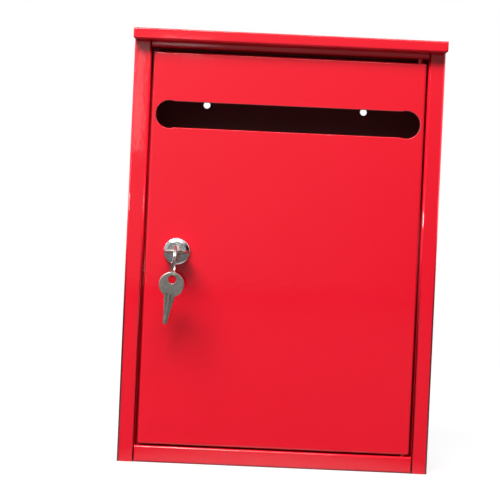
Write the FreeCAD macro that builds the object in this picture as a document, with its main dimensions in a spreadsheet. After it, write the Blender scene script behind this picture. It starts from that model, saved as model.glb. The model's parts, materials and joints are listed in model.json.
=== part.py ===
# A wall mounted post box of folded and powder-coated steel sheet, in millimetres.
# The body is a folded shell with a welded floor pan, top rail and roof. The door is a folded pan that
# turns on two pins near its right edge, has a long slot for letters, and carries a small cam lock.
# The frame's origin is the middle of the four wall screw holes, on the back face. +Y points into the
# wall, so the front looks towards -Y. +Z is up and +X is to the right of someone who faces the door.
import FreeCAD, Part
import math
import os

import Sketcher

doc = FreeCAD.newDocument("PostBox")
sheet = doc.addObject("Spreadsheet::Sheet", "Sizes")


class Size:
    """A length or an angle: its number, and the formula that ties a feature to the sheet's cells."""

    def __init__(self, number, formula):
        self.number = float(number)
        self.formula = formula

    @staticmethod
    def of(value):
        return value if isinstance(value, Size) else Size(value, repr(float(value)))

    def __add__(self, other):
        other = Size.of(other)
        return Size(self.number + other.number, f"({self.formula} + {other.formula})")

    def __sub__(self, other):
        other = Size.of(other)
        return Size(self.number - other.number, f"({self.formula} - {other.formula})")

    def __mul__(self, other):
        other = Size.of(other)
        return Size(self.number * other.number, f"({self.formula} * {other.formula})")

    def __truediv__(self, other):
        other = Size.of(other)
        return Size(self.number / other.number, f"({self.formula} / {other.formula})")

    def __neg__(self):
        return Size(-self.number, f"(0 - {self.formula})")

    def __radd__(self, other):
        return Size.of(other) + self

    def __rsub__(self, other):
        return Size.of(other) - self

    def __rmul__(self, other):
        return Size.of(other) * self


def root(value):
    return Size(math.sqrt(value.number), f"sqrt({value.formula})")


def cosine(angle):
    return Size(math.cos(math.radians(angle.number)), f"cos({angle.formula} * 1 deg)")


def sine(angle):
    return Size(math.sin(math.radians(angle.number)), f"sin({angle.formula} * 1 deg)")


sheet_row = 0


def size(alias, number):
    """Puts one driving dimension in the sheet and gives it back as a Size."""
    global sheet_row
    sheet_row += 1
    sheet.set(f"A{sheet_row}", str(number))
    sheet.setAlias(f"A{sheet_row}", alias)
    return Size(number, f"Sizes.{alias}")


# The box as a whole
box_width = size("box_width", 215)
box_height = size("box_height", 299)
body_depth = size("body_depth", 65)
sheet_thickness = size("sheet_thickness", 0.8)
bend_radius = size("bend_radius", 0.6)
weld_gap = size("weld_gap", 0.05)

# The front frame: two stiles, a bottom rail and a top rail round the door
left_stile_width = size("left_stile_width", 11.8)
right_stile_width = size("right_stile_width", 11.4)
right_return_depth = size("right_return_depth", 8)
stop_lip_width = size("stop_lip_width", 5)
stop_gap = size("stop_gap", 0.3)
bottom_rail_height = size("bottom_rail_height", 11.4)
top_rail_height = size("top_rail_height", 11.8)
ledge_depth = size("ledge_depth", 11)
weld_flange = size("weld_flange", 8)

# The roof
roof_overhang = size("roof_overhang", 7.25)
roof_side_reach = size("roof_side_reach", 0.6)
roof_lip_height = size("roof_lip_height", 8)
roof_corner_radius = size("roof_corner_radius", 2)

# The door and its gaps
door_gap_left = size("door_gap_left", 2)
door_gap_right = size("door_gap_right", 1.5)
door_gap_top = size("door_gap_top", 3.3)
door_gap_bottom = size("door_gap_bottom", 1.4)
door_depth = size("door_depth", 12)
door_corner_radius = size("door_corner_radius", 1)

# The letter slot, a straight slot with slightly larger round ends
slot_length = size("slot_length", 182.8)
slot_height = size("slot_height", 18)
slot_end_diameter = size("slot_end_diameter", 19.2)
slot_below_top = size("slot_below_top", 58)

# The hinge pins
pin_from_edge = size("pin_from_edge", 4)
pin_from_front = size("pin_from_front", 4)
pin_diameter = size("pin_diameter", 3.5)
pin_clearance = size("pin_clearance", 0.05)
pin_reach = size("pin_reach", 2.4)
pin_head_diameter = size("pin_head_diameter", 5.2)
pin_head_height = size("pin_head_height", 1)

# The four screw holes in the back
wall_hole_diameter = size("wall_hole_diameter", 5)
wall_hole_spacing_x = size("wall_hole_spacing_x", 116)
wall_hole_spacing_z = size("wall_hole_spacing_z", 200)
wall_hole_low_height = size("wall_hole_low_height", 55)

# The lock in the door
lock_from_left = size("lock_from_left", 35.3)
lock_height = size("lock_height", 146.7)
bezel_diameter = size("bezel_diameter", 18.5)
bezel_height = size("bezel_height", 3.2)
bezel_edge_height = size("bezel_edge_height", 1.75)
bezel_round = size("bezel_round", 1)
bezel_rim = size("bezel_rim", 0.3)
bezel_flare = size("bezel_flare", 0.1)
bezel_dish = size("bezel_dish", 0.9)
barrel_diameter = size("barrel_diameter", 16)
barrel_flats = size("barrel_flats", 14)
barrel_length = size("barrel_length", 21)
barrel_clearance = size("barrel_clearance", 0.05)
lock_washer_diameter = size("lock_washer_diameter", 21)
lock_washer_thickness = size("lock_washer_thickness", 0.8)
nut_flats = size("nut_flats", 20)
nut_thickness = size("nut_thickness", 3.5)

# The plug that turns in the lock
plug_diameter = size("plug_diameter", 11)
plug_head_diameter = size("plug_head_diameter", 12.6)
plug_head_height = size("plug_head_height", 1.6)
plug_head_seat = size("plug_head_seat", 0.6)
plug_clearance = size("plug_clearance", 0.05)
tail_flats = size("tail_flats", 6)
tail_clearance = size("tail_clearance", 0.05)
tail_end_step = size("tail_end_step", 0.1)
keyway_clearance = size("keyway_clearance", 0.1)
keyway_end_room = size("keyway_end_room", 0.6)
ward_width = size("ward_width", 0.7)
ward_height = size("ward_height", 0.25)

# The wafers and their springs
wafer_thickness = size("wafer_thickness", 1.1)
wafer_width = size("wafer_width", 5.2)
wafer_pitch = size("wafer_pitch", 2.7)
wafer_first = size("wafer_first", 2.6)
wafer_clearance = size("wafer_clearance", 0.05)
wafer_window_margin = size("wafer_window_margin", 0.4)
wafer_ear_reach = size("wafer_ear_reach", 1.5)
wafer_ear_height = size("wafer_ear_height", 1.2)
spring_diameter = size("spring_diameter", 1.1)
spring_wire = size("spring_wire", 0.2)
spring_length = size("spring_length", 2.9)
spring_pitch = size("spring_pitch", 0.58)
groove_depth = size("groove_depth", 1.1)

# The stop washer, cam and cam screw
stop_washer_thickness = size("stop_washer_thickness", 1)
stop_lug_width = size("stop_lug_width", 2.4)
stop_lug_height = size("stop_lug_height", 1.2)
stop_lug_inner = size("stop_lug_inner", 5.8)
stop_lug_outer = size("stop_lug_outer", 6.9)
stop_lug_play = size("stop_lug_play", 0.15)
cam_thickness = size("cam_thickness", 1.6)
cam_width = size("cam_width", 14)
cam_reach = size("cam_reach", 30)
cam_gap = size("cam_gap", 0.4)
cam_crank_start = size("cam_crank_start", 9)
cam_crank_end = size("cam_crank_end", 16)
cam_tip_radius = size("cam_tip_radius", 5)
screw_diameter = size("screw_diameter", 3.4)
screw_length = size("screw_length", 6)
screw_end_room = size("screw_end_room", 0.2)
screw_head_diameter = size("screw_head_diameter", 7)
screw_head_height = size("screw_head_height", 2.2)
screw_head_round = size("screw_head_round", 1.1)
recess_reach = size("recess_reach", 1.75)
recess_width = size("recess_width", 0.85)
recess_depth = size("recess_depth", 1.1)
screw_washer_diameter = size("screw_washer_diameter", 7.4)
screw_washer_hole = size("screw_washer_hole", 4.3)
screw_washer_thickness = size("screw_washer_thickness", 0.9)
screw_washer_split = size("screw_washer_split", 0.45)

# The two keys, which are alike, and the split ring
bow_diameter = size("bow_diameter", 17)
bow_thickness = size("bow_thickness", 2)
bow_hole_diameter = size("bow_hole_diameter", 5.4)
bow_hole_from_rim = size("bow_hole_from_rim", 5.1)
key_length = size("key_length", 35.5)
blade_width = size("blade_width", 7)
blade_thickness = size("blade_thickness", 1.7)
blade_into_bow = size("blade_into_bow", 2.4)
blade_tip_width = size("blade_tip_width", 2.4)
blade_tip_corner = size("blade_tip_corner", 0.5)
blade_groove_width = size("blade_groove_width", 0.9)
blade_groove_depth = size("blade_groove_depth", 0.35)
blade_groove_place = size("blade_groove_place", 1.3)
cut_depths = [
    size("cut_depth_1", 0.65),
    size("cut_depth_2", 0.95),
    size("cut_depth_3", 1.3),
    size("cut_depth_4", 1.6),
    size("cut_depth_5", 1.9),
]
ring_diameter = size("ring_diameter", 21.6)
ring_wire_depth = size("ring_wire_depth", 1)
ring_wire_width = size("ring_wire_width", 0.9)
ring_coil_gap = size("ring_coil_gap", 0.1)
ring_pass_angle = size("ring_pass_angle", 43)
ring_pass_play = size("ring_pass_play", 0.15)
ring_tilt = size("ring_tilt", 3)
spare_key_tilt = size("spare_key_tilt", 7.2)
spare_key_play = size("spare_key_play", 0.45)

doc.recompute()

# Places worked out from the sizes. Heights are from the underside of the box until each piece is placed.
half_width = box_width / 2
bend_outside = bend_radius + sheet_thickness
opening_left = left_stile_width - half_width
opening_right = half_width - right_stile_width
opening_top = box_height - top_rail_height
lip_front = door_depth + stop_gap - body_depth
lip_back = lip_front + sheet_thickness
underside = -(wall_hole_low_height + wall_hole_spacing_z / 2)
door_left = opening_left + door_gap_left
door_right = opening_right - door_gap_right
door_bottom = bottom_rail_height + door_gap_bottom
door_top = opening_top - door_gap_top
pin_x = door_right - pin_from_edge
pin_y = pin_from_front - body_depth
lock_x = lock_from_left - half_width
slot_centre_height = box_height - slot_below_top

TURN_TO_FRONT = FreeCAD.Rotation(FreeCAD.Vector(1, 0, 0), 90)
INTO_WALL = FreeCAD.Vector(0, 1, 0)
SQUARE_ROOT_OF_3 = math.sqrt(3)
sub_parts = []


def new_body(label, x=0, y=0, z=0):
    """A sub-part: its label names its file, and its place is tied to the sheet."""
    body = doc.addObject("PartDesign::Body", label)
    body.Label = label
    for axis, value in (("x", x), ("y", y), ("z", z)):
        body.setExpression(f"Placement.Base.{axis}", Size.of(value).formula)
    sub_parts.append(body)
    return body


def new_sketch(body, name, plane, offset=0):
    """An empty sketch on one of the body's own planes, moved along the plane's normal by offset."""
    sketch = body.newObject("Sketcher::SketchObject", name)
    support = [feature for feature in body.Origin.OriginFeatures if feature.Role == plane][0]
    sketch.AttachmentSupport = [(support, "")]
    sketch.MapMode = "FlatFace"
    sketch.setExpression("AttachmentOffset.Base.z", Size.of(offset).formula)
    return sketch


def hold(sketch, kind, edge, point, value):
    """Ties one coordinate of a point of the sketch to a size."""
    value = Size.of(value)
    number = sketch.addConstraint(Sketcher.Constraint(kind, -1, 1, edge, point, value.number))
    sketch.setExpression(f"Constraints[{number}]", value.formula)


def add_outline(sketch, corners):
    """A closed outline of straight edges through the corners, each a pair of sizes."""
    places = [FreeCAD.Vector(Size.of(x).number, Size.of(y).number, 0) for x, y in corners]
    first = len(sketch.Geometry)
    count = len(corners)
    for index in range(count):
        edge = Part.LineSegment(places[index], places[(index + 1) % count])
        sketch.addGeometry(edge, False)
    for index in range(count):
        following = first + (index + 1) % count
        sketch.addConstraint(Sketcher.Constraint("Coincident", first + index, 2, following, 1))
    for index, (x, y) in enumerate(corners):
        hold(sketch, "DistanceX", first + index, 1, x)
        hold(sketch, "DistanceY", first + index, 1, y)


def add_rectangle(sketch, left, low, right, high):
    add_outline(sketch, [(left, low), (right, low), (right, high), (left, high)])


def add_circle(sketch, x, y, diameter):
    """A circle whose centre and diameter are tied to the sheet."""
    centre = FreeCAD.Vector(Size.of(x).number, Size.of(y).number, 0)
    edge = len(sketch.Geometry)
    circle = Part.Circle(centre, FreeCAD.Vector(0, 0, 1), diameter.number / 2)
    sketch.addGeometry(circle, False)
    hold(sketch, "DistanceX", edge, 3, x)
    hold(sketch, "DistanceY", edge, 3, y)
    number = sketch.addConstraint(Sketcher.Constraint("Diameter", edge, diameter.number))
    sketch.setExpression(f"Constraints[{number}]", diameter.formula)


def add_flatted_circle(sketch, x, z, clearance):
    """The barrel's section with a clearance all round: a circle with two flats, above and below."""
    x = Size.of(x)
    z = Size.of(z)
    radius = barrel_diameter / 2 + clearance
    half_flat = barrel_flats / 2 + clearance
    half_chord = root(radius * radius - half_flat * half_flat)
    first = len(sketch.Geometry)
    centre = FreeCAD.Vector(x.number, z.number, 0)
    angle = math.atan2(half_flat.number, half_chord.number)
    circle = Part.Circle(centre, FreeCAD.Vector(0, 0, 1), radius.number)
    sketch.addGeometry(Part.ArcOfCircle(circle, -angle, angle), False)
    sketch.addGeometry(Part.ArcOfCircle(circle, math.pi - angle, math.pi + angle), False)
    top_right, top_left, low_left, low_right = (
        centre + FreeCAD.Vector(side * half_chord.number, level * half_flat.number, 0)
        for side, level in ((1, 1), (-1, 1), (-1, -1), (1, -1))
    )
    sketch.addGeometry(Part.LineSegment(top_right, top_left), False)
    sketch.addGeometry(Part.LineSegment(low_left, low_right), False)
    sketch.addConstraint(Sketcher.Constraint("Coincident", first, 2, first + 2, 1))
    sketch.addConstraint(Sketcher.Constraint("Coincident", first + 2, 2, first + 1, 1))
    sketch.addConstraint(Sketcher.Constraint("Coincident", first + 1, 2, first + 3, 1))
    sketch.addConstraint(Sketcher.Constraint("Coincident", first + 3, 2, first, 1))
    for line, start_side in ((first + 2, 1), (first + 3, -1)):
        for point, side in ((1, start_side), (2, -start_side)):
            hold(sketch, "DistanceX", line, point, x + half_chord * side)
            hold(sketch, "DistanceY", line, point, z + half_flat * start_side)
    for arc in (first, first + 1):
        number = sketch.addConstraint(Sketcher.Constraint("Radius", arc, radius.number))
        sketch.setExpression(f"Constraints[{number}]", radius.formula)


def pad(body, sketch, length, against_normal=False):
    """Thickens the sketch along its plane's normal, or against it."""
    feature = body.newObject("PartDesign::Pad", sketch.Name + "_pad")
    feature.Profile = sketch
    feature.Reversed = against_normal
    feature.setExpression("Length", Size.of(length).formula)
    doc.recompute()
    return feature


def pocket(body, sketch, length, along_normal=False):
    """Cuts the sketch into the body, and makes sure that it did cut."""
    before = body.Tip.Shape.Volume
    feature = body.newObject("PartDesign::Pocket", sketch.Name + "_cut")
    feature.Profile = sketch
    feature.Reversed = along_normal
    feature.setExpression("Length", Size.of(length).formula)
    doc.recompute()
    if not feature.Shape.Volume < before - 1e-6:
        raise RuntimeError(f"{feature.Name} cuts nothing")
    return feature


def revolve(body, sketch, axis="V_Axis"):
    """Turns the sketch once round one of its own axes."""
    feature = body.newObject("PartDesign::Revolution", sketch.Name + "_turned")
    feature.Profile = sketch
    feature.ReferenceAxis = (sketch, [axis])
    feature.Angle = 360
    doc.recompute()
    return feature


def round_edges(body, radius, chosen):
    """Rounds the edges of the body so far for which chosen(edge) is true."""
    base = body.Tip
    names = []
    for index, edge in enumerate(base.Shape.Edges):
        if chosen(edge):
            names.append(f"Edge{index + 1}")
    feature = body.newObject("PartDesign::Fillet", base.Name + "_round")
    feature.Base = (base, names)
    feature.setExpression("Radius", Size.of(radius).formula)
    doc.recompute()
    return feature


def along(direction, *places):
    """A test for straight edges along x, y or z that pass through one of the places.

    Each place gives the two other coordinates in x, y, z order, and None matches any.
    """
    axis = "xyz".index(direction)
    others = [index for index in range(3) if index != axis]

    def test(edge):
        if len(edge.Vertexes) != 2:
            return False
        start, end = (vertex.Point for vertex in edge.Vertexes)
        if any(abs(start[index] - end[index]) > 1e-6 for index in others):
            return False
        if abs(start[axis] - end[axis]) < 1e-6:
            return False
        for place in places:
            wanted = [None if value is None else Size.of(value).number for value in place]
            if all(value is None or abs(start[index] - value) < 1e-4 for index, value in zip(others, wanted)):
                return True
        return False

    return test


def any_of(*tests):
    return lambda edge: any(test(edge) for test in tests)


def make_body_shell():
    """Back, sides and stiles, folded from one sheet. The left return ends in the door's stop lip."""
    body = new_body("body_shell", z=underside)
    outline = new_sketch(body, "shell_outline", "XY_Plane")
    front = -body_depth
    right_return_end = right_return_depth - body_depth
    outside = [
        (-half_width, front),
        (-half_width, Size.of(0)),
        (half_width, Size.of(0)),
        (half_width, front),
        (opening_right, front),
    ]
    inner_x = half_width - sheet_thickness
    inner_front = sheet_thickness - body_depth
    return_left = opening_left - sheet_thickness
    return_right = opening_right + sheet_thickness
    inside = [
        (return_right, inner_front),
        (inner_x, inner_front),
        (inner_x, -sheet_thickness),
        (-inner_x, -sheet_thickness),
        (-inner_x, inner_front),
        (return_left, inner_front),
    ]
    lip_end = opening_left + stop_lip_width
    stop_outer = (return_left, lip_back)
    stop_inner = (opening_left, lip_front)
    opening_corner = (opening_left, front)
    corners = [opening_corner, *outside]
    corners += [(opening_right, right_return_end), (return_right, right_return_end)]
    corners += inside
    corners += [stop_outer, (lip_end, lip_back), (lip_end, lip_front), stop_inner]
    add_outline(outline, corners)
    pad(body, outline, box_height - sheet_thickness)
    round_edges(body, bend_outside, along("z", opening_corner, stop_outer, *outside))
    round_edges(body, bend_radius, along("z", stop_inner, *inside))
    notches = new_sketch(body, "floor_notches", "XY_Plane")
    add_rectangle(notches, -inner_x, inner_front, lip_end + weld_gap, lip_back + weld_gap)
    add_rectangle(notches, opening_right - weld_gap, inner_front, inner_x, right_return_end + weld_gap)
    pocket(body, notches, sheet_thickness + weld_gap, along_normal=True)
    holes = new_sketch(body, "wall_holes", "XZ_Plane")
    for side in (-1, 1):
        for level in (0, 1):
            x = wall_hole_spacing_x * side / 2
            add_circle(holes, x, wall_hole_low_height + wall_hole_spacing_z * level, wall_hole_diameter)
    pocket(body, holes, sheet_thickness * 2, along_normal=True)


def make_bottom_pan():
    """Floor, bottom rail and hinge ledge, folded from one sheet, with a weld flange at the back."""
    body = new_body("bottom_pan", z=underside)
    rail_end = opening_right - weld_gap
    section = new_sketch(body, "pan_section", "YZ_Plane", opening_left + weld_gap)
    front = -body_depth
    inner_front = sheet_thickness - body_depth
    back = -(sheet_thickness + weld_gap)
    flange_front = back - sheet_thickness
    ledge_back = ledge_depth - body_depth
    ledge_low = bottom_rail_height - sheet_thickness
    outside = [(front, bottom_rail_height), (front, Size.of(0)), (back, Size.of(0))]
    inside = [(flange_front, sheet_thickness), (inner_front, sheet_thickness), (inner_front, ledge_low)]
    corners = [(ledge_back, bottom_rail_height), *outside]
    corners += [(back, weld_flange), (flange_front, weld_flange)]
    corners += [*inside, (ledge_back, ledge_low)]
    add_outline(section, corners)
    pad(body, section, rail_end - (opening_left + weld_gap))
    round_edges(body, bend_outside, along("x", *outside))
    round_edges(body, bend_radius, along("x", *inside))
    floor = new_sketch(body, "floor_sides", "XY_Plane")
    side = half_width - sheet_thickness - weld_gap
    floor_back = flange_front - bend_outside
    floor_front = inner_front + weld_gap
    add_rectangle(floor, -side, floor_front, side, floor_back)
    pad(body, floor, sheet_thickness)
    round_edges(body, bend_outside, along("z", (-side, floor_front), (side, floor_front)))
    hole = new_sketch(body, "lower_pin_hole", "XY_Plane", bottom_rail_height)
    add_circle(hole, pin_x, pin_y, pin_diameter + pin_clearance * 2)
    pocket(body, hole, sheet_thickness * 2)


def make_top_rail():
    """The folded strip above the door: a weld flange under the roof, the rail and the hinge ledge."""
    body = new_body("top_rail", z=underside)
    section = new_sketch(body, "rail_section", "YZ_Plane", opening_left + weld_gap)
    front = -body_depth
    inner_front = sheet_thickness - body_depth
    top = box_height - sheet_thickness - weld_gap
    flange_low = top - sheet_thickness
    ledge_high = opening_top + sheet_thickness
    ledge_back = ledge_depth - body_depth
    flange_back = weld_flange - body_depth
    corners = [
        (front, top),
        (front, opening_top),
        (ledge_back, opening_top),
        (ledge_back, ledge_high),
        (inner_front, ledge_high),
        (inner_front, flange_low),
        (flange_back, flange_low),
        (flange_back, top),
    ]
    add_outline(section, corners)
    pad(body, section, opening_right - opening_left - weld_gap * 2)
    round_edges(body, bend_outside, along("x", corners[0], corners[1]))
    round_edges(body, bend_radius, along("x", corners[4], corners[5]))
    hole = new_sketch(body, "upper_pin_hole", "XY_Plane", ledge_high)
    add_circle(hole, pin_x, pin_y, pin_diameter + pin_clearance * 2)
    pocket(body, hole, sheet_thickness * 2)


def make_roof():
    """Top plate whose overhang is folded down and back into a closed slab edge.

    The roof stands out a little beyond the sides too.
    """
    body = new_body("roof", z=underside)
    roof_end = half_width + roof_side_reach
    low = box_height - roof_lip_height
    top_inside = box_height - sheet_thickness
    slab = new_sketch(body, "roof_slab", "XZ_Plane", body_depth)
    add_rectangle(slab, -roof_end, low, roof_end, box_height)
    pad(body, slab, roof_overhang)
    slab_front = -(body_depth + roof_overhang)
    ends = [(-roof_end, slab_front), (roof_end, slab_front)]
    fold_edges = any_of(along("x", (slab_front, low), (slab_front, box_height)), along("z", *ends))
    tab_edges = along("y", (-roof_end, low), (roof_end, low))
    round_edges(body, roof_corner_radius, tab_edges)
    round_edges(body, bend_outside, fold_edges)
    hollow = new_sketch(body, "roof_hollow", "XZ_Plane", body_depth)
    side = roof_end - sheet_thickness
    add_rectangle(hollow, -side, low + sheet_thickness, side, top_inside)
    pocket(body, hollow, roof_overhang - sheet_thickness, along_normal=True)
    inner_front = slab_front + sheet_thickness
    inner_ends = [(-side, inner_front), (side, inner_front)]
    inner_folds = along("x", (inner_front, low + sheet_thickness), (inner_front, top_inside))
    round_edges(body, bend_radius, any_of(inner_folds, along("z", *inner_ends)))
    plate = new_sketch(body, "roof_plate", "XY_Plane", box_height)
    add_rectangle(plate, -roof_end, -body_depth, roof_end, Size.of(0))
    pad(body, plate, sheet_thickness, against_normal=True)


def make_hinge_pin(label, head_z, shank_start, shank_end):
    """A riveted pin: its head lies against the ledge, and its shank stands in the door's flange."""
    body = new_body(label, x=pin_x, y=pin_y, z=underside)
    shank = new_sketch(body, label + "_shank", "XY_Plane", shank_start)
    add_circle(shank, Size.of(0), Size.of(0), pin_diameter)
    pad(body, shank, shank_end - shank_start)
    head = new_sketch(body, label + "_head", "XY_Plane", head_z)
    add_circle(head, Size.of(0), Size.of(0), pin_head_diameter)
    pad(body, head, pin_head_height)


def make_hinge_pins():
    lower_ledge = bottom_rail_height - sheet_thickness
    lower_head = lower_ledge - pin_head_height
    make_hinge_pin("hinge_pin_bottom", lower_head, lower_head, door_bottom + sheet_thickness + pin_reach)
    upper_ledge = opening_top + sheet_thickness
    shank_low = door_top - sheet_thickness - pin_reach
    make_hinge_pin("hinge_pin_top", upper_ledge, shank_low, upper_ledge + pin_head_height)


def make_door_panel():
    """The door: a pan with its edges folded back, a letter slot, the lock's hole and two pin holes.

    The slot's round ends are a little larger than its height, so that small ears show where they meet.
    """
    body = new_body("door_panel", z=underside)
    face = new_sketch(body, "door_block", "XZ_Plane", body_depth - door_depth)
    add_rectangle(face, door_left, door_bottom, door_right, door_top)
    pad(body, face, door_depth)
    corner_places = [(x, z) for x in (door_left, door_right) for z in (door_bottom, door_top)]
    round_edges(body, door_corner_radius, along("y", *corner_places))
    front = -body_depth.number
    round_edges(body, bend_outside, lambda edge: all(abs(v.Y - front) < 1e-6 for v in edge.Vertexes))
    left_in = door_left + sheet_thickness
    right_in = door_right - sheet_thickness
    low_in = door_bottom + sheet_thickness
    high_in = door_top - sheet_thickness
    hollow = new_sketch(body, "door_hollow", "XZ_Plane", body_depth - door_depth)
    add_rectangle(hollow, left_in, low_in, right_in, high_in)
    pocket(body, hollow, door_depth - sheet_thickness, along_normal=True)
    inner_front = sheet_thickness - body_depth
    folds = any_of(
        along("x", (inner_front, low_in), (inner_front, high_in)),
        along("z", (left_in, inner_front), (right_in, inner_front)),
    )
    round_edges(body, bend_radius, folds)
    slot_reach = (slot_length - slot_end_diameter) / 2
    slot_left = (door_left + door_right) / 2 - slot_reach
    slot_right = (door_left + door_right) / 2 + slot_reach
    slot_low = slot_centre_height - slot_height / 2
    slot_high = slot_centre_height + slot_height / 2
    slot = new_sketch(body, "letter_slot", "XZ_Plane", body_depth)
    add_rectangle(slot, slot_left, slot_low, slot_right, slot_high)
    pocket(body, slot, sheet_thickness * 2)
    ends = new_sketch(body, "letter_slot_ends", "XZ_Plane", body_depth)
    add_circle(ends, slot_left, slot_centre_height, slot_end_diameter)
    add_circle(ends, slot_right, slot_centre_height, slot_end_diameter)
    pocket(body, ends, sheet_thickness * 2)
    lock_hole = new_sketch(body, "lock_hole", "XZ_Plane", body_depth)
    add_flatted_circle(lock_hole, lock_x, lock_height, barrel_clearance)
    pocket(body, lock_hole, sheet_thickness * 2)
    for name, level, upwards in (("lower", door_bottom, True), ("upper", door_top, False)):
        hole = new_sketch(body, f"door_{name}_pin_hole", "XY_Plane", level)
        add_circle(hole, pin_x, pin_y, pin_diameter + pin_clearance * 2)
        pocket(body, hole, sheet_thickness * 2, along_normal=upwards)


# The lock's pieces are drawn from the lock's own centre, on the plane of the door's face. Behind that
# plane y is positive, and in front of it y is negative.
washer_back = sheet_thickness + lock_washer_thickness
bore_radius = plug_diameter / 2 + plug_clearance
head_bore_radius = plug_head_diameter / 2 + plug_clearance
plug_front = -(plug_head_seat + plug_head_height)
cam_hub_front = barrel_length + stop_washer_thickness
cam_hub_back = cam_hub_front + cam_thickness
cam_arm_front = door_depth + stop_gap + sheet_thickness + cam_gap
bow_radius = bow_diameter / 2
bow_bottom = bow_hole_from_rim - bow_diameter
blade_tip = bow_hole_from_rim - key_length
blade_run = key_length - bow_diameter
wafer_depths = [wafer_first + wafer_pitch * index for index in range(len(cut_depths))]

# Each wafer spring lies between its wafer's ear and the end of its pocket, to the right of the ear.
ear_right = -(wafer_ear_height / 2)
spring_end = ear_right + spring_length + wafer_clearance * 2


def new_lock_body(label):
    return new_body(label, x=lock_x, y=-body_depth, z=underside + lock_height)


def make_lock_housing():
    """Coned bezel and flatted barrel. The back of the barrel is cut away where the stop lug travels."""
    body = new_lock_body("lock_housing")
    profile = new_sketch(body, "housing_profile", "XY_Plane")
    bezel_radius = bezel_diameter / 2
    rim_inner = head_bore_radius + bezel_flare
    front = -bezel_height
    edge_front = -bezel_edge_height
    add_outline(
        profile,
        [
            (bore_radius, barrel_length),
            (bore_radius, -plug_head_seat),
            (head_bore_radius, -plug_head_seat),
            (head_bore_radius, front + bezel_dish),
            (rim_inner, front),
            (rim_inner + bezel_rim, front),
            (bezel_radius, edge_front),
            (bezel_radius, Size.of(0)),
            (barrel_diameter / 2, Size.of(0)),
            (barrel_diameter / 2, barrel_length),
        ],
    )
    revolve(body, profile)
    rim_y = edge_front.number

    def outer_rim(edge):
        curve = edge.Curve
        if not isinstance(curve, Part.Circle):
            return False
        return abs(curve.Center.y - rim_y) < 1e-6 and abs(curve.Radius - bezel_radius.number) < 1e-6

    round_edges(body, bezel_round, outer_rim)
    flats = new_sketch(body, "barrel_flats", "XZ_Plane")
    reach = barrel_diameter / 2 + 1
    for side in (-1, 1):
        near = barrel_flats / 2 * side
        add_rectangle(flats, -reach, near, reach, reach * side)
    pocket(body, flats, barrel_length)
    travel = new_sketch(body, "stop_travel", "XZ_Plane", -barrel_length)
    start = -(stop_lug_width / 2 + stop_lug_play)
    add_rectangle(travel, start, start, reach, reach)
    pocket(body, travel, stop_lug_height + stop_lug_play, along_normal=True)
    grooves = new_sketch(body, "wafer_grooves", "XY_Plane", -(wafer_width / 2 + wafer_clearance * 2))
    first = wafer_depths[0] - wafer_thickness
    last = wafer_depths[-1] + wafer_thickness
    outer = bore_radius + groove_depth
    add_rectangle(grooves, -outer, first, outer, last)
    pocket(body, grooves, wafer_width + wafer_clearance * 4, along_normal=True)


def make_lock_washer():
    """Flat washer between the door and the nut."""
    body = new_lock_body("lock_washer")
    disc = new_sketch(body, "washer_disc", "XZ_Plane", -washer_back)
    add_circle(disc, Size.of(0), Size.of(0), lock_washer_diameter)
    add_circle(disc, Size.of(0), Size.of(0), barrel_diameter + barrel_clearance * 2)
    pad(body, disc, lock_washer_thickness)


def make_lock_nut():
    """Thin hexagon nut that clamps the lock to the door."""
    body = new_lock_body("lock_nut")
    hexagon = new_sketch(body, "nut_hexagon", "XZ_Plane", -(washer_back + nut_thickness))
    half_flats = nut_flats / 2
    half_side = half_flats / SQUARE_ROOT_OF_3
    point = half_side * 2
    add_outline(
        hexagon,
        [
            (point, Size.of(0)),
            (half_side, half_flats),
            (-half_side, half_flats),
            (-point, Size.of(0)),
            (-half_side, -half_flats),
            (half_side, -half_flats),
        ],
    )
    add_circle(hexagon, Size.of(0), Size.of(0), barrel_diameter + barrel_clearance * 2)
    pad(body, hexagon, nut_thickness)


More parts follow.
